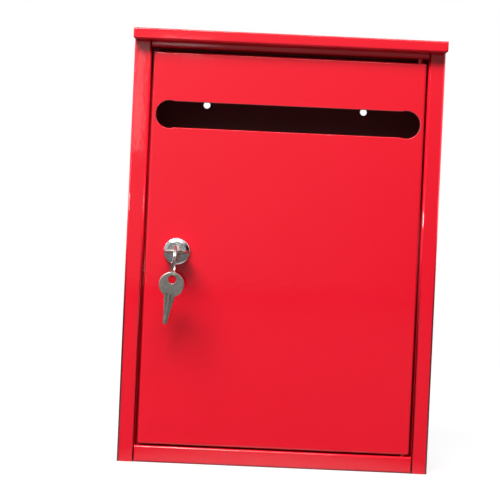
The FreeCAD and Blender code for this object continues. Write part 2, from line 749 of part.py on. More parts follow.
def make_lock_plug():
    """The plug: head, body with keyway and wafer slots, and a square tail with the screw's hole.

    Two wards stand up from the keyway's lower side into the key's grooves.
    """
    body = new_lock_body("lock_plug")
    profile = new_sketch(body, "plug_profile", "XY_Plane")
    head_back = -(plug_head_seat + plug_clearance)
    add_outline(
        profile,
        [
            (Size.of(0), plug_front),
            (plug_head_diameter / 2, plug_front),
            (plug_head_diameter / 2, head_back),
            (plug_diameter / 2, head_back),
            (plug_diameter / 2, barrel_length),
            (Size.of(0), barrel_length),
        ],
    )
    revolve(body, profile)
    tail = new_sketch(body, "plug_tail", "XZ_Plane", -barrel_length)
    half_tail = tail_flats / 2
    add_rectangle(tail, -half_tail, -half_tail, half_tail, half_tail)
    tail_end = cam_hub_back - tail_end_step
    pad(body, tail, tail_end - barrel_length, against_normal=True)
    keyway = new_sketch(body, "keyway", "XZ_Plane", -plug_front)
    half_width_in = blade_width / 2 + keyway_clearance
    half_height = blade_thickness / 2 + keyway_clearance
    ward_top = ward_height - half_height
    corners = [(-half_width_in, -half_height)]
    for place in (-blade_groove_place, blade_groove_place):
        ward_left = place - ward_width / 2
        ward_right = place + ward_width / 2
        corners += [(ward_left, -half_height), (ward_left, ward_top)]
        corners += [(ward_right, ward_top), (ward_right, -half_height)]
    corners += [(half_width_in, -half_height), (half_width_in, half_height), (-half_width_in, half_height)]
    add_outline(keyway, corners)
    pocket(body, keyway, blade_run + keyway_end_room)
    slots = new_sketch(body, "wafer_slots", "YZ_Plane", -plug_diameter)
    half_slot = wafer_thickness / 2 + wafer_clearance
    half_wafer = wafer_width / 2 + wafer_clearance
    for depth in wafer_depths:
        add_rectangle(slots, depth - half_slot, -half_wafer, depth + half_slot, half_wafer)
    pocket(body, slots, plug_diameter * 2, along_normal=True)
    ears = new_sketch(body, "spring_pockets", "YZ_Plane", spring_end)
    ear_low = wafer_width / 2
    ear_top = half_wafer + wafer_ear_reach + wafer_clearance
    for depth in wafer_depths:
        add_rectangle(ears, depth - half_slot, ear_low, depth + half_slot, ear_top)
    pocket(body, ears, plug_diameter)
    screw_hole = new_sketch(body, "screw_hole", "XZ_Plane", -tail_end)
    add_circle(screw_hole, Size.of(0), Size.of(0), screw_diameter + tail_clearance * 2)
    pocket(body, screw_hole, screw_length, along_normal=True)


def make_wafer(number, depth, cut_depth):
    """A wafer with the window that the key passes through, level with the plug for this key."""
    body = new_lock_body(f"wafer_{number}")
    disc = new_sketch(body, f"wafer_{number}_disc", "XZ_Plane", -(depth + wafer_thickness / 2))
    radius = plug_diameter / 2 - wafer_clearance
    add_circle(disc, Size.of(0), Size.of(0), radius * 2)
    pad(body, disc, wafer_thickness)
    sides = new_sketch(body, f"wafer_{number}_sides", "XZ_Plane", -(depth + wafer_thickness / 2))
    half = wafer_width / 2
    ear_left = ear_right - wafer_ear_height
    ear_top = half + wafer_ear_reach
    beyond = plug_diameter
    add_rectangle(sides, -beyond, -beyond, beyond, -half)
    add_outline(
        sides,
        [
            (-beyond, half),
            (ear_left, half),
            (ear_left, ear_top),
            (ear_right, ear_top),
            (ear_right, half),
            (beyond, half),
            (beyond, beyond),
            (-beyond, beyond),
        ],
    )
    pocket(body, sides, wafer_thickness, along_normal=True)
    window = new_sketch(body, f"wafer_{number}_window", "XZ_Plane", -(depth + wafer_thickness / 2))
    half_height = blade_thickness / 2 + keyway_clearance
    left = -(blade_width / 2 + wafer_window_margin)
    right = blade_width / 2 - cut_depth + wafer_clearance
    add_rectangle(window, left, -half_height, right, half_height)
    pocket(body, window, wafer_thickness, along_normal=True)


def make_wafer_spring(number, depth):
    """The small coil spring that pushes the wafer's ear to the left."""
    height = wafer_width / 2 + wafer_ear_reach / 2 + wafer_clearance
    base = new_body(
        f"wafer_spring_{number}",
        x=lock_x,
        y=depth - body_depth,
        z=underside + lock_height + height,
    )
    wire = new_sketch(base, f"spring_{number}_wire", "XZ_Plane")
    start = ear_right + wafer_clearance + spring_wire / 2
    add_circle(wire, start, (spring_diameter - spring_wire) / 2, spring_wire)
    coil = base.newObject("PartDesign::AdditiveHelix", f"spring_{number}_coil")
    coil.Profile = wire
    coil.ReferenceAxis = (wire, ["H_Axis"])
    coil.Mode = 0
    coil.setExpression("Pitch", spring_pitch.formula)
    coil.setExpression("Height", (spring_length - spring_wire).formula)
    doc.recompute()


def make_stop_washer():
    """Square-holed washer whose lug runs in the barrel's cut and stops the turn at a quarter."""
    body = new_lock_body("stop_washer")
    disc = new_sketch(body, "stop_disc", "XZ_Plane", -(cam_hub_front - weld_gap))
    add_circle(disc, Size.of(0), Size.of(0), barrel_diameter)
    half_hole = tail_flats / 2 + tail_clearance
    add_rectangle(disc, -half_hole, -half_hole, half_hole, half_hole)
    pad(body, disc, stop_washer_thickness - weld_gap * 2)
    lug = new_sketch(body, "stop_lug", "XZ_Plane", -(cam_hub_front - weld_gap))
    half_lug = stop_lug_width / 2
    add_rectangle(lug, -half_lug, stop_lug_inner, half_lug, stop_lug_outer)
    pad(body, lug, stop_washer_thickness + stop_lug_height - weld_gap)


def make_cam():
    """The cranked cam. It hangs down when the lock is open, and a quarter turn brings it to the left."""
    body = new_lock_body("cam")
    side = new_sketch(body, "cam_side", "YZ_Plane", -(cam_width / 2))
    top = cam_width / 2
    slant = cam_thickness / 2
    corners = [
        (cam_hub_front, top),
        (cam_hub_front, -cam_crank_start),
        (cam_arm_front, -cam_crank_end),
        (cam_arm_front, -cam_reach),
        (cam_arm_front + cam_thickness, -cam_reach),
        (cam_arm_front + cam_thickness, -(cam_crank_end + slant)),
        (cam_hub_back, -(cam_crank_start + slant)),
        (cam_hub_back, top),
    ]
    add_outline(side, corners)
    pad(body, side, cam_width)
    outer_bends = along("x", corners[5], corners[1])
    round_edges(body, cam_thickness, outer_bends)
    half = cam_width / 2
    tips = along("y", (-half, -cam_reach), (half, -cam_reach))
    round_edges(body, cam_tip_radius, tips)
    heads = along("y", (-half, top), (half, top))
    round_edges(body, cam_tip_radius, heads)
    hole = new_sketch(body, "cam_hole", "XZ_Plane", -cam_hub_front)
    half_hole = tail_flats / 2 + tail_clearance
    add_rectangle(hole, -half_hole, -half_hole, half_hole, half_hole)
    pocket(body, hole, cam_thickness)


def make_screw_washer():
    """Split spring washer under the screw's head."""
    body = new_lock_body("screw_washer")
    disc = new_sketch(body, "screw_washer_disc", "XZ_Plane", -(cam_hub_back + screw_washer_thickness))
    add_circle(disc, Size.of(0), Size.of(0), screw_washer_diameter)
    add_circle(disc, Size.of(0), Size.of(0), screw_washer_hole)
    pad(body, disc, screw_washer_thickness)
    split = new_sketch(body, "screw_washer_split", "XZ_Plane", -(cam_hub_back + screw_washer_thickness))
    half_split = screw_washer_split / 2
    add_rectangle(split, -half_split, Size.of(0), half_split, screw_washer_diameter)
    pocket(body, split, screw_washer_thickness, along_normal=True)


def make_cam_screw():
    """Pan head screw with a cross recess, in the end of the plug's tail."""
    body = new_lock_body("cam_screw")
    profile = new_sketch(body, "screw_profile", "XY_Plane")
    seat = cam_hub_back + screw_washer_thickness
    head_top = seat + screw_head_height
    screw_point = cam_hub_back - screw_length + screw_end_room
    add_outline(
        profile,
        [
            (Size.of(0), screw_point),
            (screw_diameter / 2, screw_point),
            (screw_diameter / 2, seat),
            (screw_head_diameter / 2, seat),
            (screw_head_diameter / 2, head_top),
            (Size.of(0), head_top),
        ],
    )
    revolve(body, profile)
    top_y = head_top.number
    head_radius = screw_head_diameter.number / 2

    def head_rim(edge):
        curve = edge.Curve
        if not isinstance(curve, Part.Circle):
            return False
        return abs(curve.Center.y - top_y) < 1e-6 and abs(curve.Radius - head_radius) < 1e-6

    round_edges(body, screw_head_round, head_rim)
    recess = new_sketch(body, "cross_recess", "XZ_Plane", -head_top)
    arm = recess_reach
    bar = recess_width / 2
    add_outline(
        recess,
        [
            (arm, -bar),
            (arm, bar),
            (bar, bar),
            (bar, arm),
            (-bar, arm),
            (-bar, bar),
            (-arm, bar),
            (-arm, -bar),
            (-bar, -bar),
            (-bar, -arm),
            (bar, -arm),
            (bar, -bar),
        ],
    )
    pocket(body, recess, recess_depth, along_normal=True)


def make_key(label, x, y, z):
    """A key that hangs from the centre of its bow's hole, with its blade down and alike on both edges."""
    body = new_body(label, x=x, y=y, z=z)
    bow_centre = bow_hole_from_rim - bow_radius
    bow = new_sketch(body, label + "_bow", "XZ_Plane", -(bow_thickness / 2))
    add_circle(bow, Size.of(0), bow_centre, bow_diameter)
    pad(body, bow, bow_thickness)
    left = -(blade_width / 2)
    blade_top = bow_bottom + blade_into_bow
    step = (bow_thickness - blade_thickness) / 2
    for name, offset in (("front", bow_thickness / 2), ("back", step - bow_thickness / 2)):
        recess = new_sketch(body, f"{label}_{name}_step", "XZ_Plane", offset)
        add_rectangle(recess, left, bow_bottom - blade_width, -left, blade_top)
        pocket(body, recess, step)
    blade = new_sketch(body, label + "_blade", "XZ_Plane", -(blade_thickness / 2))
    first_cut = bow_bottom - (wafer_depths[0] - plug_front) + wafer_pitch
    right_edge = [(-left, blade_top), (-left, first_cut)]
    half_flat = wafer_thickness / 2 + wafer_clearance
    for depth, cut in zip(wafer_depths, cut_depths):
        flat_x = -left - cut
        flat_z = bow_bottom - (depth - plug_front)
        right_edge += [(flat_x, flat_z + half_flat), (flat_x, flat_z - half_flat)]
    tip_side = blade_tip_width / 2
    right_edge += [(tip_side, blade_tip + blade_tip_corner), (tip_side - blade_tip_corner, blade_tip)]
    left_edge = [(-x, z) for x, z in reversed(right_edge)]
    add_outline(blade, right_edge + left_edge)
    pad(body, blade, blade_thickness)
    hole = new_sketch(body, label + "_hole", "XZ_Plane", bow_thickness / 2)
    add_circle(hole, Size.of(0), Size.of(0), bow_hole_diameter)
    pocket(body, hole, bow_thickness)
    grooves = new_sketch(body, label + "_grooves", "XZ_Plane", blade_thickness / 2)
    half_groove = blade_groove_width / 2
    for place in (-blade_groove_place, blade_groove_place):
        add_rectangle(grooves, place - half_groove, blade_tip - blade_width, place + half_groove, blade_top)
    pocket(body, grooves, blade_groove_depth)
    return body


# The inserted key's bow stands out in front with its shoulder on the plug. The ring passes through its
# hole, and the spare key hangs at the bottom of the ring.
hole_y = plug_front + bow_bottom - weld_gap - body_depth
key_z = underside + lock_height
centre_to_hole = ring_diameter / 2 - ring_wire_depth / 2 - ring_pass_play
ring_back = centre_to_hole * cosine(ring_pass_angle)
ring_drop = centre_to_hole * sine(ring_pass_angle)
ring_y = hole_y - ring_back
ring_pivot_z = key_z + bow_thickness / 2
pivot_to_centre = ring_drop + bow_thickness / 2
ring_x = lock_x - pivot_to_centre * sine(ring_tilt)
ring_z = ring_pivot_z - pivot_to_centre * cosine(ring_tilt)
centre_to_spare = ring_diameter / 2 - ring_wire_depth + bow_hole_diameter / 2 - spare_key_play
spare_x = ring_x - centre_to_spare * sine(ring_tilt)
spare_z = ring_z - centre_to_spare * cosine(ring_tilt)


def tilt_to_left(body, angle):
    """Turns a hanging piece about its own place, so that its lower end moves to the left."""
    body.Placement.Rotation = FreeCAD.Rotation(INTO_WALL, angle.number)
    body.setExpression("Placement.Rotation.Angle", angle.formula + " * 1 deg")


def make_key_ring():
    """Split ring: two turns of flat wire, with its ends at the front."""
    body = new_body("key_ring", x=ring_x, y=ring_y, z=ring_z)
    wire = new_sketch(body, "ring_wire", "XY_Plane")
    coil_pitch = ring_wire_width + ring_coil_gap
    start = -(coil_pitch + ring_wire_width / 2)
    inner = ring_diameter / 2 - ring_wire_depth
    add_rectangle(wire, start, -(ring_diameter / 2), start + ring_wire_width, -inner)
    coil = body.newObject("PartDesign::AdditiveHelix", "ring_coil")
    coil.Profile = wire
    coil.ReferenceAxis = (wire, ["H_Axis"])
    coil.Mode = 0
    coil.setExpression("Pitch", coil_pitch.formula)
    coil.setExpression("Height", (coil_pitch * 2).formula)
    doc.recompute()
    tilt_to_left(body, ring_tilt)


def make_keys():
    inserted = make_key("key_in_lock", lock_x, hole_y, key_z)
    inserted.Placement.Rotation = TURN_TO_FRONT
    spare = make_key("spare_key", spare_x, ring_y, spare_z)
    tilt_to_left(spare, spare_key_tilt)


make_body_shell()
make_bottom_pan()
make_top_rail()
make_roof()
make_hinge_pins()
make_door_panel()
make_lock_housing()
make_lock_washer()
make_lock_nut()
make_lock_plug()
for index, (wafer_depth, key_cut) in enumerate(zip(wafer_depths, cut_depths)):
    make_wafer(index + 1, wafer_depth, key_cut)
    make_wafer_spring(index + 1, wafer_depth)
make_stop_washer()
make_cam()
make_screw_washer()
make_cam_screw()
make_key_ring()
make_keys()
doc.recompute()

for item in doc.Objects:
    if "Invalid" in item.State or "Error" in item.State:
        raise RuntimeError(f"{item.Name} failed: {item.State}")
for body in sub_parts:
    if body.Shape.isNull() or not body.Shape.isValid():
        raise RuntimeError(f"{body.Label} has no valid shape")
    if len(body.Shape.Solids) != 1:
        raise RuntimeError(f"{body.Label} is {len(body.Shape.Solids)} solids")

os.makedirs("parts", exist_ok=True)
for body in sub_parts:
    body.Shape.exportStep(f"parts/{body.Label}.step")
print(f"wrote {len(sub_parts)} sub-parts")
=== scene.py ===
# %% [markdown]
# # A wall mounted post box
# The post box comes in as CAD solids: folded steel sheets, a small cam lock, two keys and a split ring.
# CAD gives the exact sizes, but its edges are sharp and its surfaces are bare. On the real box each cut
# edge is deburred, the powder coat rounds it further, and the lock is turned, threaded and plated.
# This lesson adds what the eye looks for: soft edges, turned and threaded metal, and true finishes.

# %% Load the CAD frame
import json
import math

import bmesh
import bpy
from mathutils import Matrix, Vector

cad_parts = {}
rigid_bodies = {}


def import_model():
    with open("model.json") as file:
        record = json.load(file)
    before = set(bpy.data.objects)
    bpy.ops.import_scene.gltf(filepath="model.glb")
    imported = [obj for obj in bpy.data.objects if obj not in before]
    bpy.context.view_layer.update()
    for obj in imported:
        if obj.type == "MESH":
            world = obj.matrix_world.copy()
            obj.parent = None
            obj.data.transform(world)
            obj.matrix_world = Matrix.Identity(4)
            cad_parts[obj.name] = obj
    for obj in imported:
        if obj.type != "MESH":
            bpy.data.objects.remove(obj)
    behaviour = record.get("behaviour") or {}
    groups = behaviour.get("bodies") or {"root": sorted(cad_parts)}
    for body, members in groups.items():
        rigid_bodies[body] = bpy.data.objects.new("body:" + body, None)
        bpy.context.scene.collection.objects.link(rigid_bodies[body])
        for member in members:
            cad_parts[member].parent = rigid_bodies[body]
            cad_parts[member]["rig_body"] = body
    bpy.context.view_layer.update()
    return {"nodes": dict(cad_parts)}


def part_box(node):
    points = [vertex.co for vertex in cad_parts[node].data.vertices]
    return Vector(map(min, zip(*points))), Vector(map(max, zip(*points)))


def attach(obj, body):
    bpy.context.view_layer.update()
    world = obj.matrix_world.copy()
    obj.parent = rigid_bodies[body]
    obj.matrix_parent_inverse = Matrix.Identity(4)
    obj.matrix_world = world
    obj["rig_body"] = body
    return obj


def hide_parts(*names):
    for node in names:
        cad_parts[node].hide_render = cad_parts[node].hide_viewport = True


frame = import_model()
cad_nodes = frame["nodes"]
scene = bpy.context.scene
MM = 0.001
WELD = 0.001 * MM  # points closer than this are one point
NEAR = 0.01 * MM  # places closer than this count as the same

# %% [markdown]
# ## Camera
# A long lens seen from about a metre keeps the box's sides nearly parallel. The place and the three
# angles come from the straight edges of the box: where the left and right edges draw together gives the
# distance, and the slope of the roof's edge gives the roll. The box itself stands straight, so the
# camera carries the whole of the roll.

# %% Camera
camera_data = bpy.data.cameras.new("camera")
camera_data.sensor_width = 36
camera_data.lens = 91.6
camera = bpy.data.objects.new("camera", camera_data)
camera.location = (-0.02665, -0.9439, 0.0020)
camera.rotation_euler = [math.radians(angle) for angle in (89.533, -2.582, -0.300)]
scene.collection.objects.link(camera)
scene.camera = camera

# %% [markdown]
# ## Light
# The main softbox hangs high to the left, steeply above the front. Its direction can be read from the
# shadows: the lock and the keys throw theirs far down and less far to the right, and the roof's narrow
# overhang still shades the top of the door. The softbox is wide and not tall, so an upright thing like a
# hanging key has a faint wide shadow, while the roof's long shadow keeps a fairly crisp rim. A weaker
# one beside it carries the pale lines along the bends on to the right.
# Weaker lamps lift the sides and the back, and stay high, so the inside of the box stays dark. Two slim
# strips behind the camera add hardly any light. They are there for the gloss: the left stile mirrors
# one as a pale streak, and the rail under the roof mirrors the other.

# %% Softboxes
def softbox(name, place, target, width, height, power):
    """A rectangular lamp at a place, turned towards a target. Lengths are in metres, power in watts."""
    lamp = bpy.data.lights.new(name, "AREA")
    lamp.shape = "RECTANGLE"
    lamp.size = width
    lamp.size_y = height
    lamp.energy = power
    stand = bpy.data.objects.new(name, lamp)
    stand.location = place
    aim = Vector(target) - Vector(place)
    stand.rotation_euler = aim.to_track_quat("-Z", "Y").to_euler()
    scene.collection.objects.link(stand)


middle = (0, -0.04, 0)
softbox("main_softbox", (-0.93, -1.54, 2.19), middle, 1.7, 0.8, 115)
softbox("wing_softbox", (0.25, -1.54, 2.19), middle, 0.9, 0.8, 22)
softbox("right_softbox", (1.3, 0.1, 0.9), middle, 0.8, 0.8, 7)
softbox("left_softbox", (-1.3, 0.2, 0.9), middle, 0.8, 0.8, 7)
softbox("rear_softbox", (0, 1.4, 0.9), middle, 1.2, 0.8, 12)
softbox("stile_strip", (-0.230, -1.50, 0.2475), (-0.1030, -0.065, 0.112), 0.020, 0.185, 0.027)
softbox("rail_strip", (-0.146, -1.50, 0.349), (-0.0740, -0.065, 0.134), 0.102, 0.013, 0.016)


# %% [markdown]
# ## Shader sums in Python
# A shader is a graph of nodes, and small sums in it are tedious to wire by hand. The class below wraps
# one output socket, so that `0.3 + 0.1 * noise` adds the Math nodes by itself. Every other node comes
# from one method that takes the node's type, its settings, and what goes into its sockets.

# %% Shader helpers
class Wire:
    """An output socket that can be used in sums."""

    def __init__(self, paint, socket):
        self.paint = paint
        self.socket = socket

    def __add__(self, other):
        return self.paint.sum_node("ADD", self, other)

    def __sub__(self, other):
        return self.paint.sum_node("SUBTRACT", self, other)

    def __mul__(self, other):
        return self.paint.sum_node("MULTIPLY", self, other)

    __radd__ = __add__
    __rmul__ = __mul__


class Paint:
    """A material with one Principled shader, and the means to wire nodes into it."""

    def __init__(self, name, **constants):
        self.material = bpy.data.materials.new(name)
        self.material.use_nodes = True
        self.tree = self.material.node_tree
        self.shader = self.tree.nodes["Principled BSDF"]
        self.place = self.node("ShaderNodeTexCoord", output="Object")
        self.set(**constants)

    def feed(self, socket, value):
        """Links a wire to an input socket, or writes a plain value there."""
        if isinstance(value, Wire):
            self.tree.links.new(value.socket, socket)
        else:
            socket.default_value = value

    def node(self, kind, settings=None, inputs=None, output=0):
        """Adds a node and gives back one of its outputs. Stops are the positions and greys of a ramp."""
        made = self.tree.nodes.new(kind)
        for name, value in (settings or {}).items():
            if name == "stops":
                ramp = made.color_ramp
                while len(ramp.elements) < len(value):
                    ramp.elements.new(0.5)
                for element, (position, grey) in zip(ramp.elements, value):
                    element.position = position
                    element.color = shade(grey, grey, grey)
            else:
                setattr(made, name, value)
        for socket, value in (inputs or {}).items():
            self.feed(made.inputs[socket], value)
        return Wire(self, made.outputs[output])

    def sum_node(self, operation, first, second):
        return self.node("ShaderNodeMath", {"operation": operation}, {0: first, 1: second})

    def set(self, **values):
        """Feeds the Principled shader. Each name is a socket's name in small letters."""
        for name, value in values.items():
            self.feed(self.shader.inputs[name.replace("_", " ").title().replace("Ior", "IOR")], value)

    def noise(self, scale, detail=2.0, stretch=(1, 1, 1)):
        """Cloudy values from 0 to 1. The scale counts features per metre, and stretch draws them out."""
        place = self.node("ShaderNodeMapping", None, {"Vector": self.place, "Scale": stretch})
        return self.node("ShaderNodeTexNoise", None, {"Vector": place, "Scale": scale, "Detail": detail})

    def ramp(self, value, *stops):
        """A grey that follows a value between stops, each a position and a grey."""
        return self.node("ShaderNodeValToRGB", {"stops": stops}, {"Fac": value})

    def blend(self, factor, first, second):
        """A colour between two colours."""
        settings = {"data_type": "RGBA"}
        return self.node("ShaderNodeMix", settings, {0: factor, 6: first, 7: second}, output=2)

    def bumps(self, height, depth, strength):
        """Lets a height from 0 to 1 stand for a relief, whose depth is in metres."""
        inputs = {"Height": height, "Distance": depth, "Strength": strength}
        self.set(normal=self.node("ShaderNodeBump", None, inputs))


def shade(red, green, blue):
    """An opaque colour."""
    return (red, green, blue, 1)


WHITE = shade(1, 1, 1)
BLACK = shade(0, 0, 0)


# %% [markdown]
# ## White surroundings
# The background is plain white. For the camera, and for what shows in metal, the world is white at a
# strength of 1. For everything else it is a weak light, because the softboxes do the work: the inside of
# the box would glow if the whole world shone through the slot.

# %% World
world = bpy.data.worlds.new("studio")
world.use_nodes = True
scene.world = world
world_nodes = world.node_tree.nodes
world_links = world.node_tree.links
soft_light = world_nodes["Background"]
soft_light.inputs["Color"].default_value = WHITE
soft_light.inputs["Strength"].default_value = 0.125
white = world_nodes.new("ShaderNodeBackground")
white.inputs["Color"].default_value = WHITE
white.inputs["Strength"].default_value = 1
rays = world_nodes.new("ShaderNodeLightPath")
seen = rays.outputs["Is Camera Ray"]
for ray in ("Is Glossy Ray", "Is Transmission Ray"):
    either = world_nodes.new("ShaderNodeMath")
    either.operation = "MAXIMUM"
    world_links.new(seen, either.inputs[0])
    world_links.new(rays.outputs[ray], either.inputs[1])
    seen = either.outputs[0]
choice = world_nodes.new("ShaderNodeMixShader")
world_links.new(seen, choice.inputs[0])
world_links.new(soft_light.outputs[0], choice.inputs[1])
world_links.new(white.outputs[0], choice.inputs[2])
world_links.new(choice.outputs[0], world_nodes["World Output"].inputs["Surface"])

# %% [markdown]
# ## A glowing card for the gloss
# Chrome between white walls on all sides looks like white plastic. Photographers hang a card behind the
# camera, so that polished metal and glossy paint have something to mirror and their shape shows. This one
# glows instead of taking light: its emission is a painted gradient of light, from a pale grey at its upper
# left to black at its lower right. It paints a faint sheen on the top left of the door, and a grey and a
# dark side on the chromed bezel. The card is an upright edge spun through an arc. Only mirror reflections
# see it: it throws no shadow, and it takes no light from the paint.

# %% Glowing card
CARD_RADIUS = 3.3
CARD_LOW = -0.5
CARD_HIGH = 3.0
CARD_SPREAD = math.radians(149)
card_bm = bmesh.new()
first_side = Matrix.Rotation(-CARD_SPREAD / 2, 4, "Z") @ Vector((0, -CARD_RADIUS, 0))
ends = [card_bm.verts.new((first_side.x, first_side.y, level)) for level in (CARD_LOW, CARD_HIGH)]
upright = card_bm.edges.new(ends)
up = Vector((0, 0, 1))
bmesh.ops.spin(card_bm, geom=[*ends, upright], cent=(0, 0, 0), axis=up, angle=CARD_SPREAD, steps=12)
card_mesh = bpy.data.meshes.new("glowing_reflection_card")
card_bm.to_mesh(card_mesh)
card_bm.free()
card = bpy.data.objects.new("glowing_reflection_card", card_mesh)
scene.collection.objects.link(card)
glowing_card_face = Paint("glowing_reflection_card", base_color=BLACK, roughness=0.9, emission_strength=1)
to_right = glowing_card_face.node("ShaderNodeSeparateXYZ", None, {0: glowing_card_face.place}, output=0)
to_top = glowing_card_face.node("ShaderNodeSeparateXYZ", None, {0: glowing_card_face.place}, output=2)
# The card's emission is a painted gradient of light, pale at the upper left and black at the lower right.
glowing_card_face.set(emission_color=glowing_card_face.ramp(0.31 + 0.30 * to_top - 0.30 * to_right, (0, 0), (0.6, 0.6)))
card_mesh.materials.append(glowing_card_face.material)
card.visible_camera = False
card.visible_diffuse = False
card.visible_shadow = False
card.visible_transmission = False
print("card of", len(card_mesh.polygons), "panels")

# %% [markdown]
# ## Red powder coat
# Powder coat is sprayed on dry and melted in an oven. It flows into a thick even skin, but not quite
# flat: the surface keeps a fine ripple, called orange peel, which breaks up the edges of reflections.
# The ripple is a bump of two noises, one of two millimetres and one of five. It is only a few thousandths
# of a millimetre deep, because the coat is glossy and a deeper one would blur the bright lines along the
# bends. Colour and gloss vary only a little, over the width of a hand.

# %% Red powder coat
RED = shade(0.86, 0.008, 0.026)
DEEP_RED = shade(0.83, 0.0065, 0.022)
coat = Paint("red_powder_coat", specular_ior_level=0.5)
cloud = coat.noise(14)
coat.set(base_color=coat.blend(cloud, RED, DEEP_RED))
coat.set(roughness=0.04 + 0.03 * coat.noise(40))
peel = coat.noise(500, 1)
ripple = coat.noise(180, 1)
coat.bumps(0.3 * peel + ripple, 0.00005, 0.5)

# %% [markdown]
# ## Thin coat inside, with painted shade
# The charged powder hardly gets into a deep box, so the coat inside is thin and rougher. Its darker,
# greyer red is painted shade and haze: it stands in for the dark inside the box and the faint haze of
# light seen through the slot. It gets a material of its own.

# %% Thin coat inside, with painted shade
# Darker and greyer than the red outside: painted shade and haze for the inside of the box.
SHADED_THIN_RED = shade(0.52, 0.085, 0.095)
SHADED_THINNER_RED = shade(0.42, 0.075, 0.085)
inside_coat_painted_shade = Paint("thin_red_coat_painted_shade", roughness=0.45, specular_ior_level=0.4)
inside_coat_painted_shade.set(base_color=inside_coat_painted_shade.blend(inside_coat_painted_shade.noise(60, 4), SHADED_THIN_RED, SHADED_THINNER_RED))
inside_coat_painted_shade.bumps(inside_coat_painted_shade.noise(900, 2), 0.00004, 0.4)

# %% [markdown]
# ## Chrome
# The lock's face is zinc, plated with nickel and chrome. It is a nearly perfect mirror, so it mostly
# shows the white studio and the red door. A little haze and some very fine scratches keep it real.

# %% Chrome
chrome = Paint("lock_chrome", metallic=1, base_color=shade(0.72, 0.73, 0.74))
chrome.set(roughness=0.06 + 0.06 * chrome.noise(500))
scratches = chrome.noise(900, 3, (1, 1, 0.08))
chrome.bumps(scratches, 0.00001, 0.3)

# %% [markdown]
# ## Plug metal
# The plug's face is turned on a lathe before its satin plating, and keeps the fine circles of the cutting
# tool. They are a ring wave round the lock's axis. Its colour is darker than the bezel's: partly its
# satin finish, and partly painted shade for the dark that the recessed face shows.

# %% Plug metal
plug_metal_painted_darker = Paint("satin_chrome_painted_darker", metallic=1)
rubbed = plug_metal_painted_darker.ramp(plug_metal_painted_darker.noise(300, 2), (0.35, 0), (0.7, 1))
# These greys are darker than the chrome: the satin finish, and painted shade for the recessed face.
plug_metal_painted_darker.set(base_color=plug_metal_painted_darker.blend(rubbed, shade(0.58, 0.58, 0.58), shade(0.50, 0.49, 0.48)))
plug_metal_painted_darker.set(roughness=0.2 + 0.06 * rubbed)
plug_low, plug_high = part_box("lock_plug")
to_axis = -(plug_low + plug_high) / 2
centred = plug_metal_painted_darker.node("ShaderNodeMapping", None, {"Vector": plug_metal_painted_darker.place, "Location": to_axis})
rings = {"wave_type": "RINGS", "rings_direction": "Y"}
tool_marks = plug_metal_painted_darker.node("ShaderNodeTexWave", rings, {"Vector": centred, "Scale": 900}, output=1)
plug_metal_painted_darker.bumps(tool_marks, 0.000004, 0.5)

# %% [markdown]
# ## Zinc plated steel
# Nut, washers, cam and screws are steel with a thin bright zinc plating. It is duller than chrome and
# slightly blotchy, and the punched parts keep faint rolling marks along one direction.

# %% Zinc plated steel
zinc = Paint("zinc_plated_steel", metallic=1)
blotches = zinc.ramp(zinc.noise(220, 4), (0.35, 0), (0.65, 1))
zinc.set(base_color=zinc.blend(blotches, shade(0.66, 0.67, 0.66), shade(0.55, 0.55, 0.52)))
zinc.set(roughness=0.24 + 0.16 * zinc.noise(300))
zinc.bumps(zinc.noise(1500, 2, (1, 1, 0.15)), 0.00002, 0.35)

# %% [markdown]
# ## Nickel plated keys
# The keys are stamped from nickel plated brass sheet and handled a lot. Their shine is much softer than
# the lock's, with cloudy patches from handling and fine marks along the blade.

# %% Key metal
key_metal = Paint("key_nickel", metallic=1)
handling = key_metal.ramp(key_metal.noise(330, 4), (0.3, 0), (0.7, 1))
key_metal.set(base_color=key_metal.blend(handling, shade(0.54, 0.51, 0.47), shade(0.40, 0.37, 0.33)))
key_metal.set(roughness=0.24 + 0.12 * key_metal.noise(420))
key_metal.bumps(key_metal.noise(1400, 3, (1, 1, 0.12)), 0.00003, 0.4)

# %% [markdown]
# ## Nickel plated ring
# A split ring is spring steel wire with bright nickel on it, smoother than the keys.

# %% Ring metal
ring_metal = Paint("ring_nickel", metallic=1, base_color=shade(0.52, 0.50, 0.48))
ring_metal.set(roughness=0.14 + 0.08 * ring_metal.noise(600))
ring_metal.bumps(ring_metal.noise(1600, 2), 0.00001, 0.3)

# %% [markdown]
# ## Brass wafers and bare spring steel
# These are inside the lock, where they never show unless it is taken apart.

# %% Brass and spring steel
brass = Paint("wafer_brass", metallic=1)
brass.set(base_color=brass.blend(brass.noise(500), shade(0.76, 0.56, 0.25), shade(0.60, 0.42, 0.18)))
brass.set(roughness=0.22 + 0.15 * brass.noise(700))
brass.bumps(brass.noise(1800, 2, (1, 0.1, 1)), 0.00002, 0.4)
spring_metal = Paint("spring_steel", metallic=1, base_color=shade(0.46, 0.46, 0.47))
spring_metal.set(roughness=0.2 + 0.2 * spring_metal.noise(900))

# %% [markdown]
# ## Helpers for pieces
# Each finished piece stands for one CAD node, rides on the same body, and sits at the origin with its
# place in its mesh. Shading is smooth everywhere, and a Weighted Normal modifier lets the large faces
# decide the shading, so flat faces look flat and only the rounded edges curve.

